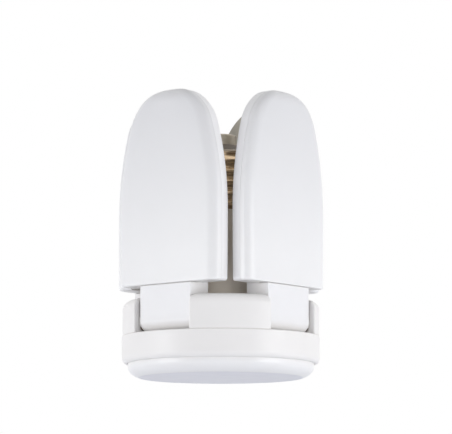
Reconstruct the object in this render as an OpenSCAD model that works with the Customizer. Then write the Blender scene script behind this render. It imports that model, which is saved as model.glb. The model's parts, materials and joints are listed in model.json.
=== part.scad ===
// Folding LED lamp: a round base with a frosted lens, a screw cap on a neck, and four LED blades
// that stand up round the cap and unfold outwards.
// Millimetres, +Z up. The origin is the centre of the cap's end contact, and the lamp hangs below it.
// Blades stand at 45, 135, 225 and 315 degrees round the axis, and the base's posts on +-X and +-Y.
// In a blade's own frame X points outwards, Y runs across the blade and Z is up.

/* [Screw cap] */
// Diameter over the thread's crests
cap_crest_d = 26.3; // [26:0.1:27]
// Diameter at the thread's roots
cap_root_d = 24.3; // [23.8:0.1:24.8]
// Pitch of the rolled thread
thread_pitch = 3.629; // [3.2:0.1:4]
// Height of the metal shell
shell_h = 20; // [18:0.5:26]
// Sheet thickness of the shell
shell_wall = 0.6; // [0.4:0.1:0.9]
// Height of the shell's rounded shoulder above the thread
shell_shoulder_h = 1.3; // [1:0.1:2]
// Radius of the opening in the shell's top
shell_mouth_r = 8.6; // [7.5:0.1:9.2]
// Radius of the end contact
contact_r = 5; // [3.5:0.1:5.2]
// Height of the end contact above the insulator
contact_h = 3.6; // [2.5:0.1:4.5]
// Height of the insulator's cone above the shell
insulator_h = 2.4; // [1.6:0.1:3.5]
// Wall of the insulator
insulator_wall = 1.2; // [0.8:0.1:1.4]

/* [Neck] */
// Outer radius of the neck
neck_r = 16.4; // [16:0.1:18]
// Length of the neck below the shell
neck_h = 38.3; // [36:0.1:50]
// Wall of the neck
neck_wall = 1.6; // [1.2:0.1:2]
// Radius of the neck's shoulder under the shell
neck_shoulder_r = 13.9; // [13.6:0.1:15]
// Height over which the neck widens from its shoulder
neck_flare_h = 8; // [4:0.5:12]
// Length of the spigot that the shell is pressed on
spigot_h = 15; // [10:0.5:16]

/* [Base] */
// Height of the hinge posts
post_h = 11.3; // [10:0.1:13]
// Wall of the posts
post_wall = 2.4; // [2.2:0.1:3.6]
// Radius of the posts' rounded top edge
post_round = 2.9; // [1:0.1:3.5]
// Room for a lead between its way down a post and the post's wall
lead_room = 0.14; // [0.1:0.02:2]
// Thickness of the posts' side cheeks, which carry the pivots
cheek_wall = 2.5; // [2.2:0.1:2.8]
// Wall of the carrier's hub round the neck
hub_wall = 2.2; // [1.6:0.1:3]
// Thickness of the flange under the neck
flange_wall = 2; // [1.6:0.1:3]
// Thickness of the retainer plate under the carrier
plate_wall = 2.2; // [1.8:0.1:3]

/* [Bezel and centre lens] */
// How far the bezel ring stands out past the posts
ring_proud = 0.2; // [0:0.1:1]
// Height of the bezel ring
ring_h = 8.9; // [8.7:0.1:12]
// Wall of the bezel ring
ring_wall = 1.4; // [1.2:0.1:1.8]
// Height of the ring's rounded lower edge
ring_round_h = 2.2; // [0.8:0.1:3]
// Width of the ring's rounded lower edge
ring_round_w = 1.4; // [0.4:0.1:1.4]
// How far the centre lens hangs below the ring
lens_drop = 4.5; // [3.6:0.05:8]
// Height of the centre lens's rounded corner
centre_corner_h = 3.65; // [2:0.05:5]
// Width of the centre lens's rounded corner
centre_corner_w = 5.8; // [2:0.1:8]
// Wall of the centre lens
lens_wall = 1.2; // [1:0.1:1.5]

/* [Blades] */
// Length of a blade from foot to tip
blade_length = 63.2; // [58:0.1:90]
// Gap between the backs of two folded neighbours
blade_gap = 1.4; // [1.2:0.1:6]
// How far the widest place lies below the tip
tip_to_widest_l = 39.5; // [30:0.5:50]
// How much each side draws in from the widest place to the tip
tip_taper_w = 8.3; // [2:0.1:9]
// How much each side draws in from the widest place to the foot
foot_taper_w = 0.2; // [0:0.05:1.5]
// Length of the rounded tip
tip_length = 11; // [6:0.1:14]
// Bluntness of the rounded tip, 2 for an ellipse
tip_power = 2.95; // [2:0.01:3.5]
// Length over which the lens's face rounds into the tip
nose_length = 4.4; // [3:0.1:10]
// Radius of the foot's corners
foot_round = 1; // [0.6:0.1:3]
// How far a blade's back lies behind the pivot
back_behind_pivot = 3.4; // [2.9:0.1:3.6]
// Depth of the back housing's rim
rim_depth = 3; // [2.8:0.1:3.6]
// Depth of the lens in front of the rim
lens_depth = 4.1; // [3.4:0.1:6]
// Depth of the lens's straight side
lens_side = 1.4; // [0.6:0.1:2]
// Width of the rounded corner between side and face
lens_corner_w = 4.2; // [2:0.1:6]
// Crown of the lens's face
lens_crown = 0.35; // [0:0.05:1]
// Wall of the blade lens
blade_lens_wall = 1.2; // [1:0.1:1.4]
// Wall of the back housing
housing_wall = 1.5; // [1.2:0.1:1.8]

/* [Arms and pivots] */
// Width of a blade's arm
arm_w = 21.2; // [18:0.1:22.6]
// Radius of the arm's nose round the pivot
arm_nose_r = 3.3; // [3.2:0.1:3.8]
// How far the arm's back lies behind the pivot
arm_back = 5.6; // [4.4:0.1:5.6]
// Radius of the arm's trunnions
trunnion_r = 2.5; // [2.3:0.1:2.6]
// Bore of the hollow trunnion, for the lead
trunnion_bore_r = 1.3; // [1.2:0.1:1.5]
// Gap between an arm and the cheeks beside it
arm_gap = 0.5; // [0.5:0.05:0.8]
// Thickness of the spring washers in that gap
washer_h = 0.4; // [0.3:0.05:0.5]

/* [Boards and screws] */
// Thickness of the LED boards
board_h = 1; // [0.8:0.1:1.4]
// Thickness of the centre heat plate
heat_plate_h = 1.5; // [1:0.1:1.5]
// Thickness of the driver board
driver_h = 1.2; // [0.8:0.1:1.6]
// Width of an LED package
led_w = 2.8; // [2:0.1:3]
// Length of an LED package
led_l = 3.5; // [2.8:0.1:3.6]
// Height of an LED package
led_h = 0.7; // [0.5:0.1:1]
// Rows of LEDs on a blade
led_rows = 8; // [4:1:9]
// LEDs in the centre board's outer circle
centre_led_count = 12; // [6:1:16]
// Radius of the small screws
screw_r = 1; // [0.8:0.05:1.1]
// Head radius of the small screws
screw_head_r = 2; // [1.8:0.1:2.2]
// Head height of the small screws
screw_head_h = 1.1; // [0.8:0.1:1.3]
// Radius of the twin leads to the blades
twin_lead_r = 0.8; // [0.6:0.05:0.9]
// Radius of the single leads
lead_r = 0.6; // [0.4:0.05:0.7]

/* [Hidden] */
$fn = 64;

FRONT_LEFT = 225;
FRONT_RIGHT = 315;
BACK_RIGHT = 45;
BACK_LEFT = 135;
BLADE_ANGLES = [FRONT_LEFT, FRONT_RIGHT, BACK_RIGHT, BACK_LEFT];
POST_ANGLES = [0, 90, 180, 270];

cut = 1;              // how far a cutting shape runs past a face
seat = 0.1;           // clearance between pieces that are fixed to each other
pivot_fit = 0.05;     // radial running clearance of the trunnions
swing_gap = 0.5;      // clearance between the arm's back and the hub
floor_gap = 0.4;      // clearance between the arm's nose and the plate
unfold_gap = 4.1;     // clearance between an unfolded blade's foot and the bezel ring
screw_fit = 0.02;     // radial clearance of a screw in its pilot hole
hole_fit = 0.3;       // radial clearance of a screw in a plain hole
flange_ledge = 5.4;   // how far the flange under the neck reaches inwards

// Levels, from the end contact down
insulator_z = -contact_h;
stem_h = 4;           // length of the contact's stem
shell_top_z = insulator_z - insulator_h;
shell_bottom_z = shell_top_z - shell_h;
thread_top_z = shell_top_z - shell_shoulder_h;
neutral_z = shell_bottom_z + spigot_h - 3;    // where the neutral lead meets the shell
neck_bottom_z = shell_bottom_z - neck_h;
base_z = neck_bottom_z - flange_wall;         // underside of the carrier, top of plate and ring
post_top_z = base_z + post_h;
pivot_z = base_z + floor_gap + arm_nose_r;
plate_z = base_z - plate_wall;                // underside of the retainer plate
ring_lip_z = base_z - ring_h;                 // lower edge of the ring
lens_bottom_z = ring_lip_z - lens_drop;

// Radii, from the neck out
stem_r = 1.5;
shoulder_in = 2;      // how far the shell's shoulder draws in
hub_in_r = neck_r + seat;
hub_r = hub_in_r + hub_wall;
pivot_d = hub_r + swing_gap + arm_back;
arm_front_d = pivot_d + arm_nose_r;
flange_in_r = neck_r - flange_ledge;          // opening in the flange under the neck

// Arm, cheeks and pivots
arm_half = arm_w / 2;
slot_half = arm_half + arm_gap;
cheek_out = slot_half + cheek_wall;
trunnion_end = cheek_out - 0.25;
hole_r = trunnion_r + pivot_fit;
saddle_drop = 1.5;    // how far the saddles' horns end below the pivot's centre
trunnion_lead_y = -trunnion_end - 0.02;       // where a base lead meets its blade's lead
lead_fall_y = -cheek_out - twin_lead_r - 0.05;   // a base lead's way down inside the post
lead_rise_y = -5;     // where a blade's lead turns up inside the arm

// Posts and ring, round the pivots
post_in_r = norm([pivot_d, lead_fall_y]) + twin_lead_r + lead_room;
post_r = post_in_r + post_wall;
ring_r = post_r + ring_proud;
ring_in_r = ring_r - ring_wall;

// Blade levels and depths
foot_z = pivot_z + ring_r + unfold_gap - pivot_d;
tip_z = foot_z + blade_length;
back_d = pivot_d - back_behind_pivot;
rim_d = back_d + rim_depth;
face_d = rim_d + lens_depth;
blade_half_w = back_d - blade_gap / sqrt(2);
board_d = back_d + housing_wall;              // back face of a blade's board
lead_up_d = rim_d - twin_lead_r - 0.5;        // a blade lead's way up inside the arm
lead_in = 3.5;        // how far that lead reaches into the blade
lead_notch_w = 4;     // notch in the board's foot for the lead

// Ring, lip, rib and the centre lens's seat
ring_edge = 0.4;      // small chamfer at the ring's top
lip_h = 1;
lip_w = 0.45;
rib_w = 0.8;
rib_h = 1;
lens_rim_z = ring_lip_z + lip_h + seat;       // underside of the centre lens's flange
lens_rim_h = 1.2;
lens_rim_r = ring_in_r - seat;
lens_body_r = ring_in_r - lip_w - seat;
heat_plate_z = lens_rim_z + lens_rim_h;       // underside of the heat plate
centre_board_z = heat_plate_z - board_h;      // underside of the centre board
centre_board_r = lens_body_r - lens_wall - 1;
centre_boss_z = heat_plate_z + heat_plate_h;  // underside of the bosses over the heat plate
hook_w = 8;
hook_h = rib_h + 1.4;
hook_wall = 1.5;
centre_screw_r = 20;  // circle that the centre board's screws lie on
centre_screw_angle = 12.8;
centre_boss_r = 3;
lead_hole_r = 3;
led_column = 5.5;     // distance of the two LED columns from the blade's middle
led_top_gap = 11;     // from the blade's tip to its uppermost LED
led_foot_gap = 12;    // from the blade's foot to its lowest LED

// Screw places
post_screw_r = 25;
post_boss_r = 2.4;
neck_screw_r = neck_r - neck_wall - 1.4;
neck_boss_r = 2.2;
neck_boss_h = 10;
NECK_SCREW_ANGLES = [90, 210, 330];
retainer_screw_len = 8;
neck_screw_len = 8;
back_boss_r = 3;
back_boss_h = 1.6;    // how far a blade's screw boss stands out behind its back
top_screw_gap = 16;   // from the blade's tip to its upper board screw
low_screw_gap = 7;    // from the blade's foot to its lower board screws
low_screw_t = 7.5;    // distance of the lower board screws from the blade's middle

// Driver board and what is on it. Heights are from the board's upper edge down
driver_half_w = neck_r - neck_wall - 0.8;
driver_top_z = shell_bottom_z - neck_flare_h - 0.5;
driver_bottom_z = neck_bottom_z + 0.8;
driver_len = driver_top_z - driver_bottom_z;
driver_face = driver_h / 2;
rail_depth = 2;
rail_wall = 1.2;
spigot_r = cap_root_d / 2 - shell_wall - seat;
spigot_in_r = spigot_r - neck_wall;
leg_r = 0.3;
can_r = 4;
can_h = 14;
can_x = -5;
can_top = 6;
can_leg_drop = 2;
box_cap_size = [5, 7, 11];
box_cap_x = 3;
box_cap_top = 9;
choke_r = 4.5;
choke_h = 8;
choke_x = -4.5;
choke_drop = 14;
bridge_size = [4.8, 2.4, 4];
bridge_x = 3;
bridge_top = 5;
fuse_r = 1.5;
fuse_l = 8;
fuse_drop = 3;
chip_size = [4, 1.4, 5];
chip_x = 3.4;
chip_top = 14;
lead_end = 4;         // how far the leads reach down over the board's upper edge
lead_x = spigot_in_r - lead_r - 1.5;
board_hold = 3;       // how far the lower leads reach up over the board's lower edge
near_x = 4;           // where the pivot leads leave the board's lower edge
far_x = 9;

lead_sides = 8;
lead_bend_steps = 3;

// ---------- helpers ----------

module at_blade(angle) {
    rotate([0, 0, angle]) children();
}

// Turns a flat shape of (across, up) so that its extrusion runs outwards from depth d
module facing_out(d, h) {
    translate([d, 0, 0]) rotate([90, 0, 90]) linear_extrude(height = h) children();
}

// Turns a flat shape of (outwards, up) so that its extrusion is centred across the blade
module across(w) {
    rotate([90, 0, 0]) linear_extrude(height = w, center = true) children();
}

// A cylinder that lies across the blade, from y0 to y1
module cross_cylinder(r, y0, y1) {
    translate([0, y1, 0]) rotate([90, 0, 0]) cylinder(r = r, h = y1 - y0);
}

// A pan head screw that points up, its head's top face at the origin's level
module screw_up(len) {
    translate([0, 0, -screw_head_h]) cylinder(r = screw_head_r, h = screw_head_h);
    translate([0, 0, -screw_head_h / 2]) cylinder(r = screw_r, h = len + screw_head_h / 2);
}

function unit(v) = v / norm(v);
function turned(p, a) = [p[0] * cos(a) - p[1] * sin(a), p[0] * sin(a) + p[1] * cos(a)];

// ---------- leads ----------

// Replaces each corner of a route by a short curve that starts b before it
function bend(p, q, r, b) = [for (k = [0:lead_bend_steps]) let (s = k / lead_bend_steps)
    pow(1 - s, 2) * (q + b * unit(p - q)) + 2 * s * (1 - s) * q + s * s * (q + b * unit(r - q))];
function route(p, b) = concat([p[0]],
    [for (i = [1:1:len(p) - 2]) each bend(p[i - 1], p[i], p[i + 1], b)], [p[len(p) - 1]]);

function tangent(p, i) = unit(p[min(i + 1, len(p) - 1)] - p[max(i - 1, 0)]);
function square_to(n, t) = unit(n - (n * t) * t);
function normals(p, i, n) = i == len(p) ? [] :
    let (m = square_to(n, tangent(p, i))) concat([m], normals(p, i + 1, m));

// A round lead along a route. The vector side is square to the route's first stretch
module lead(corners, r, side, b = 2) {
    p = route(corners, b);
    n = normals(p, 0, side);
    last = len(p) - 1;
    rings = [for (i = [0:last]) let (a = n[i], c = cross(tangent(p, i), n[i]))
        for (k = [0:lead_sides - 1]) let (w = k * 360 / lead_sides)
            p[i] + r * (cos(w) * a + sin(w) * c)];
    walls = [for (i = [0:last - 1]) for (k = [0:lead_sides - 1])
        let (a = i * lead_sides + k, b2 = i * lead_sides + (k + 1) % lead_sides)
            each [[a, a + lead_sides, b2], [b2, a + lead_sides, b2 + lead_sides]]];
    first_cap = [for (k = [0:lead_sides - 1]) k];
    last_cap = [for (k = [0:lead_sides - 1]) last * lead_sides + lead_sides - 1 - k];
    polyhedron(rings, concat([first_cap], walls, [last_cap]));
}

// ---------- cap ----------

module centre_contact() {
    edge = 0.5;
    color("silver") rotate_extrude() polygon([[0, 0], [contact_r - edge, 0], [contact_r, -edge],
        [contact_r, insulator_z], [stem_r, insulator_z], [stem_r, insulator_z - stem_h],
        [0, insulator_z - stem_h]]);
}

module cap_insulator() {
    flange_r = cap_root_d / 2 - shell_wall - shoulder_in - seat;
    cone_foot_r = shell_mouth_r - seat;
    cone_rim = 0.9;
    under_z = shell_top_z - shell_wall;
    roof_z = insulator_z - 1.3 * insulator_wall;
    color("dimgray") rotate_extrude() polygon([[stem_r, insulator_z], [contact_r + cone_rim, insulator_z],
        [cone_foot_r, shell_top_z], [cone_foot_r, under_z], [flange_r, under_z],
        [flange_r, under_z - insulator_wall], [cone_foot_r - insulator_wall, under_z - insulator_wall],
        [contact_r, roof_z], [stem_r, roof_z]]);
}

thread_sides = 40;
thread_row = 8;       // rows of points in one pitch
thread_fade = 2.4;    // length over which the thread rises and dies away

// Radius of the shell at an angle and a height: a rolled thread that fades at both ends
function thread_r(angle, z) =
    let (phase = angle - 360 * z / thread_pitch,
        fade = min(1, (thread_top_z - z) / thread_fade, (z - shell_bottom_z) / thread_fade))
    cap_root_d / 2 + (cap_crest_d - cap_root_d) / 2 * fade * (1 - cos(phase)) / 2;

module screw_shell() {
    rows = round((thread_top_z - shell_bottom_z) / thread_pitch * thread_row);
    shoulder_steps = 4;
    thread_rows = [for (i = [0:rows]) let (z = shell_bottom_z + i * (thread_top_z - shell_bottom_z) / rows)
        for (k = [0:thread_sides - 1]) let (w = k * 360 / thread_sides)
            [thread_r(w, z) * cos(w), thread_r(w, z) * sin(w), z]];
    shoulder_rows = [for (i = [1:shoulder_steps]) let (s = i * 90 / shoulder_steps,
            r = cap_root_d / 2 - shoulder_in * (1 - cos(s)), z = thread_top_z + shell_shoulder_h * sin(s))
        for (k = [0:thread_sides - 1]) let (w = k * 360 / thread_sides) [r * cos(w), r * sin(w), z]];
    points = concat(thread_rows, shoulder_rows);
    top = len(points) / thread_sides - 1;
    walls = [for (i = [0:top - 1]) for (k = [0:thread_sides - 1])
        let (a = i * thread_sides + k, b = i * thread_sides + (k + 1) % thread_sides)
            each [[a, a + thread_sides, b], [b, a + thread_sides, b + thread_sides]]];
    bottom_cap = [for (k = [0:thread_sides - 1]) k];
    top_cap = [for (k = [0:thread_sides - 1]) top * thread_sides + thread_sides - 1 - k];
    color("silver") difference() {
        polyhedron(points, concat([bottom_cap], walls, [top_cap]));
        translate([0, 0, shell_bottom_z - cut])
            cylinder(r = cap_root_d / 2 - shell_wall, h = thread_top_z - shell_bottom_z - shell_wall + cut);
        translate([0, 0, shell_bottom_z - cut])
            cylinder(r = cap_root_d / 2 - shell_wall - shoulder_in, h = shell_h - shell_wall + cut);
        translate([0, 0, shell_top_z - 2 * shell_wall]) cylinder(r = shell_mouth_r, h = 4 * shell_wall);
    }
}

// ---------- neck ----------

module neck_boss_places() {
    for (a = NECK_SCREW_ANGLES) rotate([0, 0, a]) translate([neck_screw_r, 0, 0]) children();
}

module neck_housing() {
    in_r = neck_r - neck_wall;
    lead_hole = lead_r + 0.2;
    rail_h = driver_top_z - neck_bottom_z;
    rail_y = driver_face + seat + rail_wall / 2;
    color("whitesmoke") difference() {
        union() {
            rotate_extrude() polygon([[spigot_in_r, shell_bottom_z + spigot_h],
                [spigot_r, shell_bottom_z + spigot_h], [spigot_r, shell_bottom_z],
                [neck_shoulder_r, shell_bottom_z], [neck_shoulder_r, shell_bottom_z - 2],
                [neck_r, shell_bottom_z - neck_flare_h], [neck_r, neck_bottom_z],
                [in_r, neck_bottom_z], [in_r, shell_bottom_z - neck_flare_h],
                [spigot_in_r, shell_bottom_z - neck_wall - 1.5]]);
            intersection() {
                translate([0, 0, neck_bottom_z]) union() {
                    neck_boss_places() cylinder(r = neck_boss_r, h = neck_boss_h);
                    for (x = [-1, 1]) for (y = [-1, 1])
                        translate([x * (in_r - rail_depth / 2 + seat), y * rail_y, rail_h / 2])
                            cube([rail_depth + 2 * seat, rail_wall, rail_h], center = true);
                }
                cylinder(r = in_r + neck_wall / 2, h = 3 * neck_h, center = true);
            }
        }
        translate([0, 0, neck_bottom_z - cut])
            neck_boss_places() cylinder(r = screw_r + screw_fit, h = neck_boss_h - 1 + cut);
        translate([spigot_r, 0, neutral_z]) rotate([0, -90, 0])
            translate([0, 0, -cut]) cylinder(r = lead_hole, h = neck_wall + 2 * cut);
    }
}

module neck_screws() {
    color("gray") neck_boss_places() translate([0, 0, base_z]) screw_up(neck_screw_len);
}

// ---------- base ----------

// What an arm's slot takes out of the carrier
module arm_slot() {
    translate([0, -slot_half, base_z - cut]) cube([post_r + cut, 2 * slot_half, post_h + 2 * cut]);
}

// The keyhole in a cheek: a round seat for the trunnion, open to the underside
module trunnion_keyhole(side) {
    y0 = side > 0 ? slot_half - cut : -cheek_out;
    y1 = side > 0 ? cheek_out : cut - slot_half;
    translate([pivot_d, 0, pivot_z]) cross_cylinder(hole_r, y0, y1);
    translate([pivot_d - hole_r, y0, base_z - cut]) cube([2 * hole_r, y1 - y0, pivot_z - base_z + cut]);
}

// The room inside a post, between its two cheeks and its outer wall
module post_hollow(h) {
    intersection() {
        translate([0, 0, base_z - cut]) cylinder(r = post_in_r, h = h + cut);
        rotate([0, 0, -45]) translate([cheek_out, cheek_out, base_z - cut])
            cube([post_r, post_r, h + cut]);
    }
}

module hinge_carrier() {
    roof = 1.6;
    hub_mid_r = hub_in_r + hub_wall / 2;
    color("whitesmoke") difference() {
        union() {
            difference() {
                rotate_extrude() polygon(concat(
                    [[hub_mid_r, base_z], [post_r, base_z]],
                    [for (s = [0:10:90]) [post_r - post_round * (1 - cos(s)),
                        post_top_z - post_round * (1 - sin(s))]],
                    [[hub_mid_r, post_top_z]]));
                for (a = BLADE_ANGLES) at_blade(a) arm_slot();
            }
            rotate_extrude() polygon([[hub_in_r, post_top_z], [hub_r, post_top_z], [hub_r, base_z],
                [flange_in_r, base_z], [flange_in_r, neck_bottom_z], [hub_in_r, neck_bottom_z]]);
        }
        for (a = POST_ANGLES) rotate([0, 0, a]) difference() {
            post_hollow(post_h - roof);
            translate([post_screw_r, 0, base_z - 2 * cut]) cylinder(r = post_boss_r, h = post_h + 2 * cut);
        }
        for (a = POST_ANGLES) rotate([0, 0, a]) translate([post_screw_r, 0, base_z - cut])
            cylinder(r = screw_r + screw_fit, h = retainer_screw_len - plate_wall + 0.5 + cut);
        for (a = BLADE_ANGLES) at_blade(a) for (side = [-1, 1]) trunnion_keyhole(side);
        neck_boss_places() translate([0, 0, base_z - cut])
            cylinder(r = screw_r + hole_fit, h = flange_wall + 2 * cut);
    }
}

// A tongue of the retainer that fills a keyhole from below and cradles the trunnion
module saddle(side) {
    w = cheek_wall - 2 * seat;
    middle = side * (slot_half + cheek_wall / 2);
    difference() {
        translate([pivot_d - hole_r + seat, middle - w / 2, base_z - plate_wall / 2])
            cube([2 * (hole_r - seat), w, pivot_z - saddle_drop - base_z + plate_wall / 2]);
        translate([pivot_d, middle, pivot_z]) cross_cylinder(hole_r, -w, w);
    }
}

module hinge_retainer() {
    plate_r = ring_in_r - seat;
    plate_in_r = neck_r + 0.6;
    hook_face = sqrt(pow(ring_in_r - rib_w - seat, 2) - pow(hook_w / 2, 2));
    barb_face = sqrt(pow(ring_in_r - seat, 2) - pow(hook_w / 2, 2));
    color("white") difference() {
        union() {
            rotate_extrude() polygon([[plate_in_r, base_z], [plate_r, base_z], [plate_r, plate_z],
                [plate_in_r, plate_z]]);
            for (a = BLADE_ANGLES) at_blade(a) {
                for (side = [-1, 1]) saddle(side);
                translate([hook_face - hook_wall, -hook_w / 2, plate_z - hook_h])
                    cube([hook_wall, hook_w, hook_h + plate_wall / 2]);
                translate([hook_face - hook_wall, -hook_w / 2, plate_z - hook_h])
                    cube([barb_face - hook_face + hook_wall, hook_w, hook_h - rib_h - seat]);
            }
            centre_screw_places() translate([0, 0, centre_boss_z])
                cylinder(r = centre_boss_r, h = base_z - plate_wall / 2 - centre_boss_z);
        }
        for (a = POST_ANGLES) rotate([0, 0, a]) translate([post_screw_r, 0, plate_z - cut])
            cylinder(r = screw_r + hole_fit, h = plate_wall + 2 * cut);
        centre_screw_places() translate([0, 0, centre_boss_z - cut])
            cylinder(r = screw_r + screw_fit, h = cut + base_z - 1 - centre_boss_z);
        for (a = BLADE_ANGLES) at_blade(a) translate([pivot_d, lead_fall_y, plate_z - cut])
            cylinder(r = twin_lead_r + hole_fit, h = plate_wall + 2 * cut);
    }
}

module retainer_screws() {
    color("gray") for (a = POST_ANGLES) rotate([0, 0, a]) translate([post_screw_r, 0, plate_z])
        screw_up(retainer_screw_len);
}

module bezel_ring() {
    rib_z = plate_z;
    lip_r = ring_in_r - lip_w;
    color("white") rotate_extrude() polygon(concat(
        [[ring_in_r, base_z], [ring_r - ring_edge, base_z], [ring_r, base_z - ring_edge]],
        [for (s = [0:15:90]) [ring_r - ring_round_w * (1 - cos(s)),
            ring_lip_z + ring_round_h * (1 - sin(s))]],
        [[lip_r, ring_lip_z], [lip_r, ring_lip_z + lip_h],
            [ring_in_r, ring_lip_z + lip_h], [ring_in_r, rib_z - rib_h],
            [ring_in_r - rib_w, rib_z - rib_h], [ring_in_r - rib_w, rib_z], [ring_in_r, rib_z]]));
}

// Outline of the centre lens's shell, drawn in by the given amount
function centre_lens_curve(inset) = [for (s = [0:10:90])
    [lens_body_r - centre_corner_w + (centre_corner_w - inset) * cos(s),
        lens_bottom_z + centre_corner_h - (centre_corner_h - inset) * sin(s)]];

module centre_lens() {
    crown = 0.1;
    color("ghostwhite") rotate_extrude() polygon(concat(
        [[lens_body_r - lens_wall, heat_plate_z], [lens_rim_r, heat_plate_z], [lens_rim_r, lens_rim_z],
            [lens_body_r, lens_rim_z]],
        centre_lens_curve(0),
        [[0, lens_bottom_z - crown], [0, lens_bottom_z - crown + lens_wall]],
        [for (i = [9:-1:0]) centre_lens_curve(lens_wall)[i]]));
}

module centre_screw_places() {
    for (a = POST_ANGLES) rotate([0, 0, a - 45 + centre_screw_angle]) translate([centre_screw_r, 0, 0])
        children();
}

module centre_heat_plate() {
    color("lightgray") difference() {
        translate([0, 0, heat_plate_z]) cylinder(r = lens_rim_r, h = heat_plate_h);
        centre_screw_places() translate([0, 0, heat_plate_z - cut])
            cylinder(r = screw_r + hole_fit, h = heat_plate_h + 2 * cut);
        translate([0, 0, heat_plate_z - cut]) cylinder(r = lead_hole_r, h = heat_plate_h + 2 * cut);
    }
}

module centre_led_board() {
    color("white") difference() {
        translate([0, 0, centre_board_z]) cylinder(r = centre_board_r, h = board_h);
        centre_screw_places() translate([0, 0, centre_board_z - cut])
            cylinder(r = screw_r + hole_fit, h = board_h + 2 * cut);
        translate([0, 0, centre_board_z - cut]) cylinder(r = lead_hole_r, h = board_h + 2 * cut);
    }
}

module centre_leds() {
    outer_circle = centre_board_r - led_l;
    inner_circle = 12;
    inner_count = 6;
    color("khaki") for (ring = [[outer_circle, centre_led_count], [inner_circle, inner_count]])
        for (i = [0:ring[1] - 1]) rotate([0, 0, i * 360 / ring[1]])
            translate([ring[0] - led_w / 2, -led_l / 2, centre_board_z - led_h])
                cube([led_w, led_l, led_h]);
}

module centre_board_screws() {
    color("gray") centre_screw_places() translate([0, 0, centre_board_z])
        screw_up(board_h + heat_plate_h + 3);
}

// ---------- driver ----------

module driver_board() {
    color("seagreen") translate([-driver_half_w, -driver_face, driver_bottom_z])
        cube([2 * driver_half_w, driver_h, driver_len]);
}

// A can on the board's back face, with two legs bent to the board
module smoothing_capacitor() {
    y = driver_face + can_r + seat / 2;
    foot = driver_top_z - can_top - can_h;
    color("darkslateblue") {
        translate([can_x, y, foot]) cylinder(r = can_r, h = can_h);
        for (side = [-1, 1]) translate([can_x + side * can_r * 0.45, y, foot - can_leg_drop]) {
            cylinder(r = leg_r, h = can_leg_drop + 0.5);
            translate([0, driver_face - y, leg_r]) rotate([-90, 0, 0])
                cylinder(r = leg_r, h = y - driver_face);
        }
    }
}

module line_capacitor() {
    foot = driver_top_z - box_cap_top - box_cap_size[2];
    color("gold") translate([box_cap_x, -driver_face - box_cap_size[1], foot]) cube(box_cap_size);
}

module line_choke() {
    collar = choke_h * 0.15;
    waist_r = choke_r * 0.78;
    color("saddlebrown") translate([choke_x, -driver_face, driver_top_z - choke_drop]) rotate([90, 0, 0])
        rotate_extrude() polygon([[0, 0], [choke_r, 0], [choke_r, collar], [waist_r, collar],
            [waist_r, choke_h - collar], [choke_r, choke_h - collar], [choke_r, choke_h], [0, choke_h]]);
}

module bridge_rectifier() {
    color("black") translate([bridge_x, driver_face, driver_top_z - bridge_top - bridge_size[2]])
        cube(bridge_size);
}

// A body along the board's upper edge, with a bent leg at each end
module fuse_resistor() {
    y = driver_face + fuse_r + 0.4;
    reach = 1.2;
    color("tan") translate([0, -y, driver_top_z - fuse_drop]) {
        rotate([0, 90, 0]) cylinder(r = fuse_r, h = fuse_l, center = true);
        rotate([0, 90, 0]) cylinder(r = leg_r, h = fuse_l + 2 * reach, center = true);
        for (side = [-1, 1]) translate([side * (fuse_l / 2 + reach), -leg_r, 0]) rotate([-90, 0, 0])
            cylinder(r = leg_r, h = y - driver_face + leg_r);
    }
}

module driver_chip() {
    legs = 4;
    leg_pitch = 1.27;
    leg_w = 0.4;
    leg_reach = 1;
    z = driver_top_z - chip_top - chip_size[2];
    color("black") {
        translate([chip_x, driver_face + 0.2, z]) cube(chip_size);
        for (i = [0:legs - 1]) translate([chip_x - leg_reach, driver_face, z + leg_w + i * leg_pitch])
            cube([chip_size[0] + 2 * leg_reach, 0.6, leg_w]);
    }
}

module live_lead() {
    color("firebrick") lead([[0, 0, insulator_z - stem_h], [0, 0, insulator_z - 2 * stem_h],
        [lead_x, driver_face + lead_r, driver_top_z + lead_end],
        [lead_x, driver_face + lead_r, driver_top_z - lead_end]], lead_r, [1, 0, 0]);
}

module neutral_lead() {
    wall_x = cap_root_d / 2 - shell_wall;
    color("black") lead([[wall_x, 0, neutral_z], [lead_x, 0, neutral_z],
        [lead_x, -driver_face - lead_r, driver_top_z + lead_end],
        [lead_x, -driver_face - lead_r, driver_top_z - lead_end]], lead_r, [0, 0, 1]);
}

// From the driver down through the heat plate, and flat against the centre board's underside
module centre_lead() {
    y = driver_face + lead_r;
    foot_l = 5;
    color("firebrick") lead([[0, y, driver_bottom_z + board_hold], [0, y, centre_board_z - lead_r],
        [foot_l, y, centre_board_z - lead_r]], lead_r, [1, 0, 0], 1.2);
}

// Twin leads from the driver, out under the retainer and up inside the posts to the hollow trunnions
module pivot_leads() {
    run_z = plate_z - twin_lead_r - seat;
    start_y = driver_face + twin_lead_r;
    color("dimgray") for (a = BLADE_ANGLES) {
        fall = turned([pivot_d, lead_fall_y], a);
        near_end = turned([pivot_d, trunnion_lead_y], a);
        start_x = abs(fall[0]) > abs(fall[1]) ? far_x : near_x;
        start = [sign(fall[0]) * start_x, sign(fall[1]) * start_y];
        lead([[start[0], start[1], driver_bottom_z + board_hold], [start[0], start[1], run_z],
            [fall[0], fall[1], run_z], [fall[0], fall[1], pivot_z], [near_end[0], near_end[1], pivot_z]],
            twin_lead_r, [1, 0, 0], 0.9);
    }
}

// ---------- blades ----------

// Half width of the blade at distance u below the tip, before its ends are rounded
function side_half(u) = blade_half_w - (u < tip_to_widest_l ?
    tip_taper_w * pow((tip_to_widest_l - u) / tip_to_widest_l, 2) :
    foot_taper_w * pow((u - tip_to_widest_l) / (blade_length - tip_to_widest_l), 2));
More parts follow.
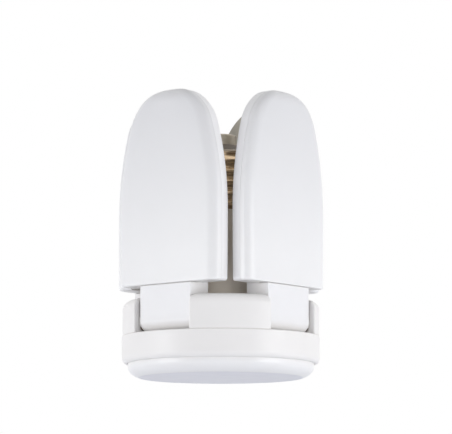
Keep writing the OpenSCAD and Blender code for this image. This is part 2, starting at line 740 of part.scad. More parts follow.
// Share of that width that the rounded tip leaves
function tip_share(u) = u >= tip_length ? 1 : pow(1 - pow(1 - max(u, 0) / tip_length, 2), 1 / tip_power);
// How much a corner of radius r takes off, at distance v before the end
function corner_cut(v, r) = v >= r ? 0 : r - sqrt(max(0, r * r - pow(r - v, 2)));
function half_width(u, inset) = (side_half(u) - inset) * tip_share(u - inset)
    - corner_cut(blade_length - inset - u, max(foot_round - inset, 0.3));

// Distances below the tip at which the blade's outline has points
tip_steps = 9;
side_steps = 7;
foot_steps = 3;
function stations(inset) =
    let (foot_r = max(foot_round - inset, 0.3), side_end = blade_length - inset - foot_r,
        tip_end = inset + tip_length)
    concat(
        [for (i = [0:tip_steps]) inset + tip_length * (1 - cos(8 + 82 * i / tip_steps))],
        [for (i = [1:side_steps - 1]) tip_end + (side_end - tip_end) * i / side_steps],
        [for (i = [0:foot_steps]) side_end + foot_r * sin(90 * i / foot_steps)]);

// Outline of the blade, seen from its back, drawn in by the inset
module blade_outline(inset) {
    u = stations(inset);
    n = len(u) - 1;
    polygon(concat([for (i = [0:n]) [half_width(u[i], inset), tip_z - u[i]]],
        [for (i = [n:-1:0]) [-half_width(u[i], inset), tip_z - u[i]]]));
}

// Share of the full depth that the face has at distance u below the tip
function nose_share(u) = u >= nose_length ? 1 : sqrt(1 - pow(1 - max(u, 0) / nose_length, 2));

corner_steps = 5;
face_steps = 2;

// Half of the lens's section: side, rounded corner and crowned face, as (across, depth) points
function half_section(w, h, inset) =
    let (share = h / lens_depth, side = lens_side * share, c = min(lens_corner_w - inset / 2, 0.8 * w),
        edge = h - lens_crown * share)
    concat([[w, 0]],
        [for (i = [0:corner_steps]) let (s = 90 * i / corner_steps)
            [w - c + c * cos(s), side + (edge - side) * sin(s)]],
        [for (i = [1:face_steps]) let (t = (w - c) * (1 - i / face_steps))
            [t, edge + lens_crown * share * (1 - pow(1 - i / face_steps, 2))]]);

// The lens's form, drawn in by the inset, from depth start in front of the rim
module lens_form(inset, start) {
    edge_r = 0.8;
    u = stations(inset);
    n = len(u) - 1;
    sections = [for (i = [0:n])
        let (w = half_width(u[i], inset),
            h = (lens_depth - inset) * max(nose_share(u[i] - inset), 0.12)
                - corner_cut(blade_length - inset - u[i], edge_r),
            half = half_section(w, h, inset), m = len(half))
        concat([for (p = half) p], [for (k = [m - 2:-1:0]) [-half[k][0], half[k][1]]])];
    m = len(sections[0]);
    points = [for (i = [0:n]) for (k = [0:m - 1])
        [rim_d + (k == 0 || k == m - 1 ? start : sections[i][k][1]), sections[i][k][0], tip_z - u[i]]];
    walls = [for (i = [0:n - 1]) for (k = [0:m - 1]) let (a = i * m + k, b = i * m + (k + 1) % m)
        each [[a, a + m, b], [b, a + m, b + m]]];
    tip_cap = [for (k = [0:m - 1]) k];
    foot_cap = [for (k = [0:m - 1]) n * m + m - 1 - k];
    polyhedron(points, concat([tip_cap], walls, [foot_cap]));
}

module blade_lens() {
    color("ghostwhite") difference() {
        lens_form(0, 0);
        lens_form(blade_lens_wall, -cut);
    }
}

// Side view of the arm, as (outwards, up) points
module arm_profile() {
    ramp = 6;
    hump = 8;
    front_gap = 0.1;
    polygon(concat(
        [[rim_d, foot_z + housing_wall], [rim_d, foot_z - front_gap], [arm_front_d, foot_z - front_gap]],
        [for (s = [0:15:135]) [pivot_d + arm_nose_r * cos(s), pivot_z - arm_nose_r * sin(s)]],
        [[pivot_d - arm_back, pivot_z + 0.5], [pivot_d - arm_back, foot_z + hump],
            [back_d, foot_z + hump + ramp], [back_d + housing_wall / 2, foot_z + hump + ramp],
            [back_d + housing_wall / 2, foot_z + housing_wall]]));
}

BOARD_SCREWS = [[0, tip_z - top_screw_gap], [-low_screw_t, foot_z + low_screw_gap],
    [low_screw_t, foot_z + low_screw_gap]];

module board_screw_places(d) {
    for (p = BOARD_SCREWS) translate([d, p[0], p[1]]) rotate([0, 90, 0]) children();
}

module blade_housing() {
    channel_r = twin_lead_r + hole_fit;
    elbow_r = arm_nose_r - 1;
    color("ghostwhite") difference() {
        union() {
            facing_out(back_d, rim_depth) blade_outline(0);
            across(arm_w) arm_profile();
            translate([pivot_d, 0, pivot_z]) cross_cylinder(trunnion_r, -trunnion_end, trunnion_end);
            board_screw_places(back_d - back_boss_h) cylinder(r = back_boss_r, h = back_boss_h + 0.5);
        }
        facing_out(board_d, rim_depth) blade_outline(housing_wall);
        board_screw_places(back_d - back_boss_h + 0.8)
            cylinder(r = screw_r + screw_fit, h = back_boss_h + rim_depth);
        translate([pivot_d, 0, pivot_z]) cross_cylinder(trunnion_bore_r, -trunnion_end - cut, lead_rise_y);
        translate([pivot_d, lead_rise_y, pivot_z]) sphere(r = elbow_r);
        translate([lead_up_d, lead_rise_y, pivot_z])
            cylinder(r = channel_r, h = foot_z - pivot_z + lead_in + 0.5);
    }
}

module blade_led_board() {
    inset = housing_wall + 1.1;
    color("white") difference() {
        facing_out(board_d, board_h) blade_outline(inset);
        board_screw_places(board_d - cut) cylinder(r = screw_r + hole_fit, h = board_h + 2 * cut);
        translate([board_d - cut, lead_rise_y - lead_notch_w / 2, foot_z])
            cube([board_h + 2 * cut, lead_notch_w, lead_in + 1.5]);
    }
}

module blade_leds() {
    pitch = (blade_length - led_top_gap - led_foot_gap) / (led_rows - 1);
    color("khaki") for (row = [0:led_rows - 1]) for (side = [-1, 1])
        translate([board_d + board_h, side * led_column - led_l / 2,
                tip_z - led_top_gap - row * pitch - led_w / 2])
            cube([led_h, led_l, led_w]);
}

module blade_board_screws() {
    len = board_h + housing_wall + back_boss_h - 1;
    color("gray") board_screw_places(board_d + board_h) rotate([180, 0, 0]) screw_up(len);
}

module blade_washers() {
    outer_r = arm_nose_r - 0.1;
    color("dimgray") translate([pivot_d, 0, pivot_z]) for (side = [-1, 1]) difference() {
        cross_cylinder(outer_r, side > 0 ? arm_half : -arm_half - washer_h,
            side > 0 ? arm_half + washer_h : -arm_half);
        cross_cylinder(hole_r, side > 0 ? 0 : -cheek_out, side > 0 ? cheek_out : 0);
    }
}

// From the hollow trunnion up inside the arm to the foot of the board
module blade_lead() {
    color("dimgray") lead([[pivot_d, -trunnion_end, pivot_z], [pivot_d, lead_rise_y, pivot_z],
        [lead_up_d, lead_rise_y, pivot_z + 2.2], [lead_up_d, lead_rise_y, foot_z + lead_in]],
        twin_lead_r, [1, 0, 0], 0.9);
}

centre_contact();
cap_insulator();
screw_shell();
neck_housing();
neck_screws();
hinge_carrier();
hinge_retainer();
retainer_screws();
bezel_ring();
centre_lens();
centre_heat_plate();
centre_led_board();
centre_leds();
centre_board_screws();
driver_board();
smoothing_capacitor();
line_capacitor();
line_choke();
bridge_rectifier();
fuse_resistor();
driver_chip();
live_lead();
neutral_lead();
centre_lead();
pivot_leads();
at_blade(FRONT_LEFT) blade_lens();  // front_left_lens
at_blade(FRONT_LEFT) blade_housing();  // front_left_housing
at_blade(FRONT_LEFT) blade_led_board();  // front_left_led_board
at_blade(FRONT_LEFT) blade_leds();  // front_left_leds
at_blade(FRONT_LEFT) blade_board_screws();  // front_left_board_screws
at_blade(FRONT_LEFT) blade_washers();  // front_left_washers
at_blade(FRONT_LEFT) blade_lead();  // front_left_lead
at_blade(FRONT_RIGHT) blade_lens();  // front_right_lens
at_blade(FRONT_RIGHT) blade_housing();  // front_right_housing
at_blade(FRONT_RIGHT) blade_led_board();  // front_right_led_board
at_blade(FRONT_RIGHT) blade_leds();  // front_right_leds
at_blade(FRONT_RIGHT) blade_board_screws();  // front_right_board_screws
at_blade(FRONT_RIGHT) blade_washers();  // front_right_washers
at_blade(FRONT_RIGHT) blade_lead();  // front_right_lead
at_blade(BACK_RIGHT) blade_lens();  // back_right_lens
at_blade(BACK_RIGHT) blade_housing();  // back_right_housing
at_blade(BACK_RIGHT) blade_led_board();  // back_right_led_board
at_blade(BACK_RIGHT) blade_leds();  // back_right_leds
at_blade(BACK_RIGHT) blade_board_screws();  // back_right_board_screws
at_blade(BACK_RIGHT) blade_washers();  // back_right_washers
at_blade(BACK_RIGHT) blade_lead();  // back_right_lead
at_blade(BACK_LEFT) blade_lens();  // back_left_lens
at_blade(BACK_LEFT) blade_housing();  // back_left_housing
at_blade(BACK_LEFT) blade_led_board();  // back_left_led_board
at_blade(BACK_LEFT) blade_leds();  // back_left_leds
at_blade(BACK_LEFT) blade_board_screws();  // back_left_board_screws
at_blade(BACK_LEFT) blade_washers();  // back_left_washers
at_blade(BACK_LEFT) blade_lead();  // back_left_lead
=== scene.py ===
"""Looks of a folding LED lamp: a round base with a frosted lens, a screw cap and four LED blades.

Blender objects are in metres, +Z up, with the origin in the centre of the cap's end contact.
Sizes here are in millimetres. In a blade's own frame X points outwards, Y runs across it and Z is
up.
"""

import json
import math

import bmesh
import bpy
from mathutils import Matrix, Vector

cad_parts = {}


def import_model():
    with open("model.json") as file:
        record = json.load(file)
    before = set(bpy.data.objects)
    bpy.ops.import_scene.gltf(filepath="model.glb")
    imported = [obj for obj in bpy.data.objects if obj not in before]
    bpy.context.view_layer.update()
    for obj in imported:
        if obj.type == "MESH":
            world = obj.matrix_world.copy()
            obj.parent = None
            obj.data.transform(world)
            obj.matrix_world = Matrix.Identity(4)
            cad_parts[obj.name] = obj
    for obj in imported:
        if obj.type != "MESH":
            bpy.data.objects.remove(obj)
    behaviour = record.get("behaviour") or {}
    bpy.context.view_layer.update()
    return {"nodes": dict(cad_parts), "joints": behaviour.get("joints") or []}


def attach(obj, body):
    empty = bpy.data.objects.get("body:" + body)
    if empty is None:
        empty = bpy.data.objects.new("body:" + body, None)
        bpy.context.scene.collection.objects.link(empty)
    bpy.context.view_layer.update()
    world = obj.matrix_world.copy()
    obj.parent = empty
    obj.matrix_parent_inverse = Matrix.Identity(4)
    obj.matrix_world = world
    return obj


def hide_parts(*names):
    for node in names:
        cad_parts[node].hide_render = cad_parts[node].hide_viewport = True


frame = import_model()

MM = 0.001
BLADES = {"front_left": 225, "front_right": 315, "back_right": 45, "back_left": 135}
POSTS = (0, 90, 180, 270)
SEAT = 0.1    # clearance between pieces that are fixed to each other


# ---------- sizes that the frame gives ----------

def local_box(node, angle=0):
    """Lowest and highest corners of a CAD node in mm, in the frame of a blade at that angle."""
    turn = Matrix.Rotation(math.radians(-angle), 3, "Z")
    points = [turn @ v.co / MM for v in frame["nodes"][node].data.vertices]
    low = [min(p[i] for p in points) for i in range(3)]
    high = [max(p[i] for p in points) for i in range(3)]
    return low, high


LENS_LOW, LENS_HIGH = local_box("front_left_lens", BLADES["front_left"])
BOARD_LOW, _ = local_box("front_left_led_board", BLADES["front_left"])
ARM_LOW, _ = local_box("front_left_housing", BLADES["front_left"])
CARRIER_LOW, CARRIER_HIGH = local_box("hinge_carrier")
RING_LOW, RING_HIGH = local_box("bezel_ring")
NECK_LOW, NECK_HIGH = local_box("neck_housing")
SHELL_LOW, SHELL_HIGH = local_box("screw_shell")
CONTACT_LOW, CONTACT_HIGH = local_box("centre_contact")
CENTRE_LENS_LOW, CENTRE_LENS_HIGH = local_box("centre_lens")

PIVOT = next(j for j in frame["joints"] if j["name"] == "front_left_fold")["pos_m"]
PIVOT_D = math.hypot(PIVOT[0], PIVOT[1]) / MM
PIVOT_Z = PIVOT[2] / MM

RIM_D = LENS_LOW[0]
LENS_DEPTH = LENS_HIGH[0] - RIM_D
BLADE_HALF = LENS_HIGH[1]
FOOT_Z = LENS_LOW[2]
TIP_Z = LENS_HIGH[2]
BLADE_LENGTH = TIP_Z - FOOT_Z
BASE_Z = CARRIER_LOW[2]
POST_TOP_Z = CARRIER_HIGH[2]
POST_R = CARRIER_HIGH[0]
RING_R = RING_HIGH[0]

# ---------- sizes that the pieces share with the construction ----------

# Blade
TIP_TO_WIDEST = 39.5
TIP_TAPER = 8.3
FOOT_TAPER = 0.2
TIP_LENGTH = 11.0
TIP_POWER = 2.95
NOSE_LENGTH = 4.4
FOOT_ROUND = 1.0
SMALLEST_FOOT_R = 0.3
LENS_SIDE = 1.4
LENS_CORNER_W = 4.3
LENS_CROWN = 0.35
LENS_FOOT_EDGE = 0.35
LENS_WALL = 1.2
HOUSING_WALL = 1.5
RIM_BEVEL = 0.08
BACK_D = BOARD_LOW[0] - HOUSING_WALL
BACK_FILLET = 0.15

# Arm and pivots
ARM_HALF = 10.6
ARM_NOSE_R = 3.3
ARM_BACK = PIVOT_D - ARM_LOW[0]
ARM_HUMP = 8.0
ARM_RAMP = 6.0
ARM_EDGE = 0.35
ARM_FRONT_ROUND = 0.5    # at 0.2, with ARM_FRONT_GAP at 0.02, the union lost the tray
ARM_FRONT_GAP = 0.05
ARM_OVERLAP = 0.05       # how far the arm reaches into the tray, so that the two join
TRUNNION_R = 2.5
TRUNNION_END = 13.35
TRUNNION_EDGE = 0.3
HOLE_R = 2.55
BOSS_R = 3.0
BOSS_H = 1.6
BOSS_EDGE = 0.35
BOARD_SCREWS = ((0, TIP_Z - 16), (-7.5, FOOT_Z + 7), (7.5, FOOT_Z + 7))

# Base
SLOT_HALF = 11.1
CHEEK_OUT = 13.6
POST_IN_R = POST_R - 2.4
POST_ROUND = 2.9
POST_EDGE = 0.7
POST_TOP_EDGE = 1.5
POST_FOOT_EDGE = 0.15
POST_ROOF = 1.6
POST_HOLLOW_EDGE = 0.5
CUT = 1.0                # how far a cutting tool reaches past the surface that it cuts
HUB_IN_R = 16.5
HUB_R = 18.7
FLANGE_IN_R = 11.0
NECK_BOTTOM_Z = NECK_LOW[2]
RING_WALL = 1.4
RING_ROUND_H = 2.2
RING_ROUND_W = 1.4
RING_LIP_W = 0.45
RING_LIP_H = 1.0
RING_RIB_W = 0.8
RING_RIB_H = 1.0
PLATE_Z = BASE_Z - 2.2
CENTRE_CORNER_H = 3.65
CENTRE_CORNER_W = 5.8
CENTRE_CORNER_END = 70
CENTRE_LENS_CROWN = 0.1
CENTRE_BEND_Z = CENTRE_LENS_LOW[2] + CENTRE_LENS_CROWN + CENTRE_CORNER_H
CENTRE_LENS_BODY_R = RING_R - RING_WALL - RING_LIP_W - SEAT

# Cap and neck
THREAD_PITCH = 3.629
CAP_ROOT_R = 12.15
CAP_CREST_R = SHELL_HIGH[0]
SHELL_WALL = 0.6
SHELL_SHOULDER_H = 1.3
SHELL_SHOULDER_IN = 2.0
SHELL_MOUTH_R = 8.6
THREAD_FADE = 2.4
NECK_R = NECK_HIGH[0]
NECK_WALL = 1.6
NECK_SHOULDER_R = 13.9
NECK_SHOULDER_H = 2.0
NECK_FLARE_H = 8.0
NECK_INNER_DROP = 3.1
SHELL_BOTTOM_Z = SHELL_LOW[2]
SHELL_TOP_Z = SHELL_HIGH[2]
CONTACT_R = CONTACT_HIGH[0]
STEM_R = 1.5
INSULATOR_Z = -3.6
CONE_RIM_W = 0.9


# ---------- mesh helpers ----------

def new_object(name, points, faces):
    """A mesh object from points in mm, with doubles merged and its normals outwards."""
    mesh = bpy.data.meshes.new(name)
    mesh.from_pydata([Vector(p) * MM for p in points], [], faces)
    piece = bpy.data.objects.new(name, mesh)
    bpy.context.scene.collection.objects.link(piece)
    tidy_mesh(piece)
    return piece


def tidy_mesh(piece):
    """Merges doubles, removes faces of no area and turns the normals outwards."""
    merge_distance = 2e-6
    work = bmesh.new()
    work.from_mesh(piece.data)
    bmesh.ops.remove_doubles(work, verts=work.verts, dist=merge_distance)
    bmesh.ops.dissolve_degenerate(work, edges=work.edges, dist=merge_distance / 2)
    bmesh.ops.recalc_face_normals(work, faces=work.faces)
    work.to_mesh(piece.data)
    work.free()


def smooth(piece, angle=32):
    """Shades a piece smooth, apart from edges sharper than the angle."""
    piece.data.shade_smooth()
    piece.data.set_sharp_from_angle(angle=math.radians(angle))
    modifier = piece.modifiers.new("weighted_normals", "WEIGHTED_NORMAL")
    modifier.keep_sharp = True


def skin(rings, loop=False):
    """Points and faces of a skin over closed rings with equal numbers of points."""
    count = len(rings[0])
    rows = len(rings)
    points = [p for ring in rings for p in ring]
    faces = []
    for i in range(rows if loop else rows - 1):
        a = i * count
        b = (i + 1) % rows * count
        for k in range(count):
            n = (k + 1) % count
            faces.append((a + k, a + n, b + n, b + k))
    if not loop:
        faces.append(tuple(reversed(range(count))))
        faces.append(tuple(range((rows - 1) * count, rows * count)))
    return points, faces


def arc(start, end, steps):
    """Angles in radians from start to end degrees."""
    return [math.radians(start + (end - start) * i / steps) for i in range(steps + 1)]


def rounded(corners, steps=5):
    """Outline through (x, y, fillet) corners, each rounded with its own fillet radius."""
    outline = []
    count = len(corners)
    for i, (x, y, fillet) in enumerate(corners):
        corner = Vector((x, y))
        before = Vector(corners[i - 1][:2]) - corner
        after = Vector(corners[(i + 1) % count][:2]) - corner
        if fillet <= 0:
            outline.append((x, y))
            continue
        half = before.angle(after) / 2
        reach = min(fillet / math.tan(half), 0.49 * before.length, 0.49 * after.length)
        first = corner + before.normalized() * reach
        last = corner + after.normalized() * reach
        weight = math.sin(half)
        for k in range(steps + 1):
            s = k / steps
            shares = ((1 - s) ** 2, 2 * s * (1 - s) * weight, s * s)
            point = (first * shares[0] + corner * shares[1] + last * shares[2]) / sum(shares)
            outline.append((point.x, point.y))
    return outline


def lathe(name, profile, segments=144):
    """Turns a closed (radius, height) outline about Z."""
    rings = []
    for i in range(segments):
        turn = 2 * math.pi * i / segments
        rings.append([(r * math.cos(turn), r * math.sin(turn), z) for r, z in profile])
    return new_object(name, *skin(rings, loop=True))


def rod(name, radius, start, end, edge, place, segments=56):
    """A round rod along X from start to end with rounded edges, put in its place by a function."""
    steps = 4
    rings = []
    for turn in arc(90, 0, steps):
        rings.append((start + edge * (1 - math.cos(turn)), radius - edge * (1 - math.sin(turn))))
    rings = [(x, r) for x, r in sorted(rings)]
    rings += [(start + end - x, r) for x, r in reversed(rings)]
    circles = []
    for x, r in rings:
        turns = [2 * math.pi * k / segments for k in range(segments)]
        circles.append([place(x, r * math.cos(a), r * math.sin(a)) for a in turns])
    return new_object(name, *skin(circles))


def boolean(piece, tool, operation):
    """Joins or cuts a piece with a closed tool, which is used up."""
    modifier = piece.modifiers.new("boolean", "BOOLEAN")
    modifier.operation = operation
    modifier.solver = "EXACT"
    modifier.object = tool
    graph = bpy.context.evaluated_depsgraph_get()
    mesh = bpy.data.meshes.new_from_object(piece.evaluated_get(graph))
    piece.modifiers.clear()
    piece.data = mesh
    bpy.data.objects.remove(tool)
    tidy_mesh(piece)
    return piece


def turned_copy(name, piece, angle):
    """A copy of a piece, turned about Z by an angle in degrees in its mesh."""
    copy = bpy.data.objects.new(name, piece.data.copy())
    copy.data.name = name
    copy.data.transform(Matrix.Rotation(math.radians(angle), 4, "Z"))
    bpy.context.scene.collection.objects.link(copy)
    return copy


# ---------- materials ----------

def nodes_of(material):
    """The emptied node tree of a material or world."""
    material.use_nodes = True
    tree = material.node_tree
    tree.nodes.clear()
    return tree


def link(tree, source, target):
    tree.links.new(source, target)


def add(tree, kind, **values):
    """A node with its inputs set by name. Spaces in input names are written as underscores."""
    node = tree.nodes.new(kind)
    for key, value in values.items():
        node.inputs[key.replace("_", " ")].default_value = value
    return node


def noise(tree, coordinates, scale, detail=3.0, stretch=(1, 1, 1)):
    """Noise with a scale in features per metre, stretched along the axes."""
    mapping = add(tree, "ShaderNodeMapping")
    mapping.inputs["Scale"].default_value = stretch
    link(tree, coordinates, mapping.inputs["Vector"])
    texture = add(tree, "ShaderNodeTexNoise", Scale=scale, Detail=detail, Roughness=0.55)
    link(tree, mapping.outputs["Vector"], texture.inputs["Vector"])
    return texture.outputs["Fac"]


def remap(tree, value, low, high, start=0.3, end=0.7):
    """Maps a value from start..end to low..high."""
    node = add(tree, "ShaderNodeMapRange", From_Min=start, From_Max=end, To_Min=low, To_Max=high)
    link(tree, value, node.inputs["Value"])
    return node.outputs["Result"]


def blend_colours(tree, share, first, second):
    """A mix of two colours, each a colour or a socket."""
    node = tree.nodes.new("ShaderNodeMix")
    node.data_type = "RGBA"
    for name, value in (("A", first), ("B", second)):
        socket = next(s for s in node.inputs if s.name == name and s.type == "RGBA")
        if hasattr(value, "default_value"):
            link(tree, value, socket)
        else:
            socket.default_value = (*value, 1)
    link(tree, share, node.inputs["Factor"])
    return next(s for s in node.outputs if s.type == "RGBA")


def height_share(tree, coordinates, start, end):
    """Rises from 0 to 1 between two heights in mm."""
    axes = tree.nodes.new("ShaderNodeSeparateXYZ")
    link(tree, coordinates, axes.inputs[0])
    return remap(tree, axes.outputs["Z"], 0, 1, start * MM, end * MM)


SEAM_SHADE_RANGE = (0.35, 0.95)    # ambient occlusion over which the painted shade in seams fades out
INWARD_SHADE_FROM = 6              # place dotted with normal, in mm, where the painted shade on inner faces begins
INWARD_SHADE_FULL = 14


def surface(name, colour, roughness, mottle=0.02, mottle_size=6.0, rough_spread=0.05,
            grain_size=0.25, grain_depth=0.004, stretch=(1, 1, 1), painted_seam_shade=None, top=None,
            inward_shade=None, **sockets):
    """A surface with slight colour variation, uneven gloss and a fine grain.

    Sizes and depths are in mm. A painted shade for seams is given as (colour, reach, share): a tint
    that ambient occlusion lays in seams, gaps and hollows.
    A top is (colour, start, end): a colour painted by height, which takes over between those
    heights; it carries painted shade and painted light.
    Painted shade on the faces that look at the lamp's axis is given the same way as a top."""
    material = bpy.data.materials.new(name)
    tree = nodes_of(material)
    output = tree.nodes.new("ShaderNodeOutputMaterial")
    shader = add(tree, "ShaderNodeBsdfPrincipled")
    for key, value in sockets.items():
        shader.inputs[key.replace("_", " ")].default_value = value
    place_on = tree.nodes.new("ShaderNodeTexCoord")
    coordinates = place_on.outputs["Object"]
    mottling = noise(tree, coordinates, 1 / (mottle_size * MM), stretch=stretch)
    pale = [min(1.0, c * (1 + mottle)) for c in colour]
    deep = [c * (1 - mottle) for c in colour]
    tone = blend_colours(tree, remap(tree, mottling, 0, 1), deep, pale)
    # Painted shade: darkens seams, gaps and hollows by ambient occlusion, where shade falls.
    if painted_seam_shade:
        tint, reach, share = painted_seam_shade
        occlusion = add(tree, "ShaderNodeAmbientOcclusion", Distance=reach * MM)
        occlusion.samples = 6
        painted_shade_share = remap(tree, occlusion.outputs["AO"], share, 0, *SEAM_SHADE_RANGE)
        tone = blend_colours(tree, painted_shade_share, tone, tint)
    # A colour painted by height: painted shade on the blade tips, the centre lens's underside and
    # the shell's top, painted light on the washers.
    if top:
        tint, start, end = top
        tone = blend_colours(tree, height_share(tree, coordinates, start, end), tone, tint)
    # Painted shade on the faces that look at the lamp's axis, such as the blades' inner backs,
    # growing towards the top.
    if inward_shade:
        tint, start, end = inward_shade
        facing = tree.nodes.new("ShaderNodeVectorMath")
        facing.operation = "DOT_PRODUCT"
        link(tree, coordinates, facing.inputs[0])
        link(tree, place_on.outputs["Normal"], facing.inputs[1])
        both = tree.nodes.new("ShaderNodeMath")
        both.operation = "MULTIPLY"
        inner = remap(tree, facing.outputs["Value"], 0, 1, -INWARD_SHADE_FROM * MM, -INWARD_SHADE_FULL * MM)
        link(tree, inner, both.inputs[0])
        link(tree, height_share(tree, coordinates, start, end), both.inputs[1])
        tone = blend_colours(tree, both.outputs[0], tone, tint)
    link(tree, tone, shader.inputs["Base Color"])
    gloss = noise(tree, coordinates, 1 / (mottle_size * 0.4 * MM), stretch=stretch)
    low, high = roughness - rough_spread, roughness + rough_spread
    link(tree, remap(tree, gloss, low, high), shader.inputs["Roughness"])
    grain = noise(tree, coordinates, 1 / (grain_size * MM), detail=2.0, stretch=stretch)
    bump = add(tree, "ShaderNodeBump", Strength=1.0, Distance=grain_depth * MM)
    link(tree, grain, bump.inputs["Height"])
    link(tree, bump.outputs["Normal"], shader.inputs["Normal"])
    link(tree, shader.outputs["BSDF"], output.inputs["Surface"])
    return material


# Colours of painted shade, laid by ambient occlusion where parts come close: brown in the seams of
# the base and neck, beige in the blade housings, cream at the lens edges.
SEAM_SHADE_BROWN = (0.56, 0.50, 0.44)
INNER_SHADE_BEIGE = (0.70, 0.655, 0.585)
EDGE_SHADE_CREAM = (0.82, 0.79, 0.71)



def lens_surface(name, top):
    # Painted shade: a cream tint that ambient occlusion lays at the lens's edges where other parts
    # come close.
    return surface(name, (0.912, 0.912, 0.922), 0.34, mottle=0.008, mottle_size=14,
                   grain_size=0.18, grain_depth=0.003, painted_seam_shade=(EDGE_SHADE_CREAM, 8, 0.35), top=top,
                   Subsurface_Weight=0.12, Subsurface_Radius=(1, 0.95, 0.9),
                   Subsurface_Scale=0.0015, IOR=1.5)


# Painted shade: the blades turn grey towards their tips, from z -42 to 14 mm.
frosted_lens = lens_surface("frosted_lens", ((0.75, 0.752, 0.775), -42, 14))
# Painted shade and painted blue fill light: the centre lens's flat underside turns grey-blue below
# the bend of its corner.
lower_lens = lens_surface("lower_lens", ((0.75, 0.755, 0.825), CENTRE_BEND_Z - 3.5,
                                         CENTRE_BEND_Z - CENTRE_CORNER_H))
# Painted shade: a beige tint in the housings' seams, and a grey-beige tint on their faces that look
# at the lamp's axis, strongest near the top.
milky_housing = surface("milky_housing", (0.90, 0.90, 0.92), 0.42, mottle=0.008, mottle_size=12,
                        grain_size=0.22, grain_depth=0.004, painted_seam_shade=(INNER_SHADE_BEIGE, 6, 0.3),
                        inward_shade=((0.67, 0.64, 0.57), -40, -2),
                        Subsurface_Weight=0.08, Subsurface_Radius=(1, 0.95, 0.9),
                        Subsurface_Scale=0.001, IOR=1.5)
# Painted shade: a brown tint in the seams and gaps of the base.
white_housing = surface("white_housing", (0.905, 0.892, 0.888), 0.42, mottle=0.01, mottle_size=9,
                        grain_size=0.22, grain_depth=0.005, painted_seam_shade=(SEAM_SHADE_BROWN, 0.6, 0.25),
                        IOR=1.5)
# Painted warm light: the neck is white plastic like the base, coloured cream for the warm light in
# the shaded gap between the blades; its seams get painted brown shade.
neck_painted_warm_bounce = surface("neck_painted_warm_bounce", (0.97, 0.89, 0.78), 0.48, mottle=0.015, mottle_size=9,
                       grain_size=0.22, grain_depth=0.005, painted_seam_shade=(SEAM_SHADE_BROWN, 0.8, 0.15), IOR=1.5)
# Painted shade: a dark brown tint in the thread's grooves by ambient occlusion, and a dark band at
# the shell's top, above z -6.9 mm.
shell_metal = surface("shell_metal", (0.71, 0.485, 0.32), 0.29, mottle=0.6, mottle_size=1.5,
                      rough_spread=0.12, grain_size=1.2, grain_depth=0.09,
                      stretch=(0.25, 0.25, 2.5), painted_seam_shade=((0.15, 0.10, 0.055), 1.8, 0.8),
                      top=((0.24, 0.195, 0.145), -7.6, -6.9), Metallic=1.0)
contact_metal = surface("contact_metal", (0.65, 0.595, 0.505), 0.5, mottle=0.08, mottle_size=1.6,
                        rough_spread=0.08, grain_size=0.12, grain_depth=0.006, Metallic=0.6)
# Painted shade: the cap's insulating cone is coloured dark brown for the shade that falls on it
# between the blades.
insulator = surface("insulator", (0.20, 0.165, 0.13), 0.5, mottle=0.12, mottle_size=1.5,
                    grain_size=0.15, grain_depth=0.01)
steel = surface("steel", (0.55, 0.55, 0.54), 0.32, mottle=0.06, mottle_size=1.2, rough_spread=0.08,
                grain_size=0.08, grain_depth=0.004, Metallic=1.0)
# Painted light: the washers are dark brown at their lowest part and painted pale above z -64.1 mm,
# for the light in the slots beside the arms.
washer_metal = surface("washer_metal", (0.16, 0.10, 0.07), 0.4, mottle=0.12, mottle_size=0.8,
                       grain_size=0.1, grain_depth=0.004, top=((0.80, 0.79, 0.77), -64.6, -64.1),
                       Metallic=0.3)
aluminium = surface("aluminium", (0.80, 0.80, 0.81), 0.38, mottle=0.03, mottle_size=3,
                    grain_size=0.3, grain_depth=0.006, stretch=(8, 1, 1), Metallic=1.0)
led_board = surface("led_board", (0.86, 0.86, 0.84), 0.4, mottle=0.03, mottle_size=4,
                    grain_size=0.15, grain_depth=0.008)
led = surface("led", (0.90, 0.74, 0.22), 0.3, mottle=0.08, mottle_size=0.8, grain_size=0.1,
              grain_depth=0.004, Coat_Weight=0.4)
circuit_board = surface("circuit_board", (0.05, 0.24, 0.12), 0.36, mottle=0.15, mottle_size=2.5,
                        grain_size=0.4, grain_depth=0.02, Coat_Weight=0.3)
can_sleeve = surface("can_sleeve", (0.03, 0.04, 0.10), 0.3, mottle=0.1, mottle_size=2,
                     grain_size=0.2, grain_depth=0.004)
component_yellow = surface("component_yellow", (0.78, 0.56, 0.08), 0.4, mottle=0.06, mottle_size=2,
                           grain_size=0.2, grain_depth=0.006)
copper_winding = surface("copper_winding", (0.62, 0.27, 0.12), 0.3, mottle=0.2, mottle_size=0.8,
                         grain_size=0.3, grain_depth=0.06, stretch=(0.2, 3, 0.2), Metallic=1.0)
component_black = surface("component_black", (0.025, 0.025, 0.028), 0.5, mottle=0.1, mottle_size=1,
                          grain_size=0.1, grain_depth=0.008)
component_tan = surface("component_tan", (0.62, 0.47, 0.30), 0.45, mottle=0.1, mottle_size=1,
                        grain_size=0.15, grain_depth=0.01)
lead_red = surface("lead_red", (0.52, 0.03, 0.03), 0.4, mottle=0.06, mottle_size=2,
                   grain_size=0.2, grain_depth=0.004)
lead_black = surface("lead_black", (0.02, 0.02, 0.022), 0.42, mottle=0.1, mottle_size=2,
                     grain_size=0.2, grain_depth=0.004)
lead_white = surface("lead_white", (0.80, 0.79, 0.76), 0.45, mottle=0.04, mottle_size=2,
                     grain_size=0.2, grain_depth=0.004)

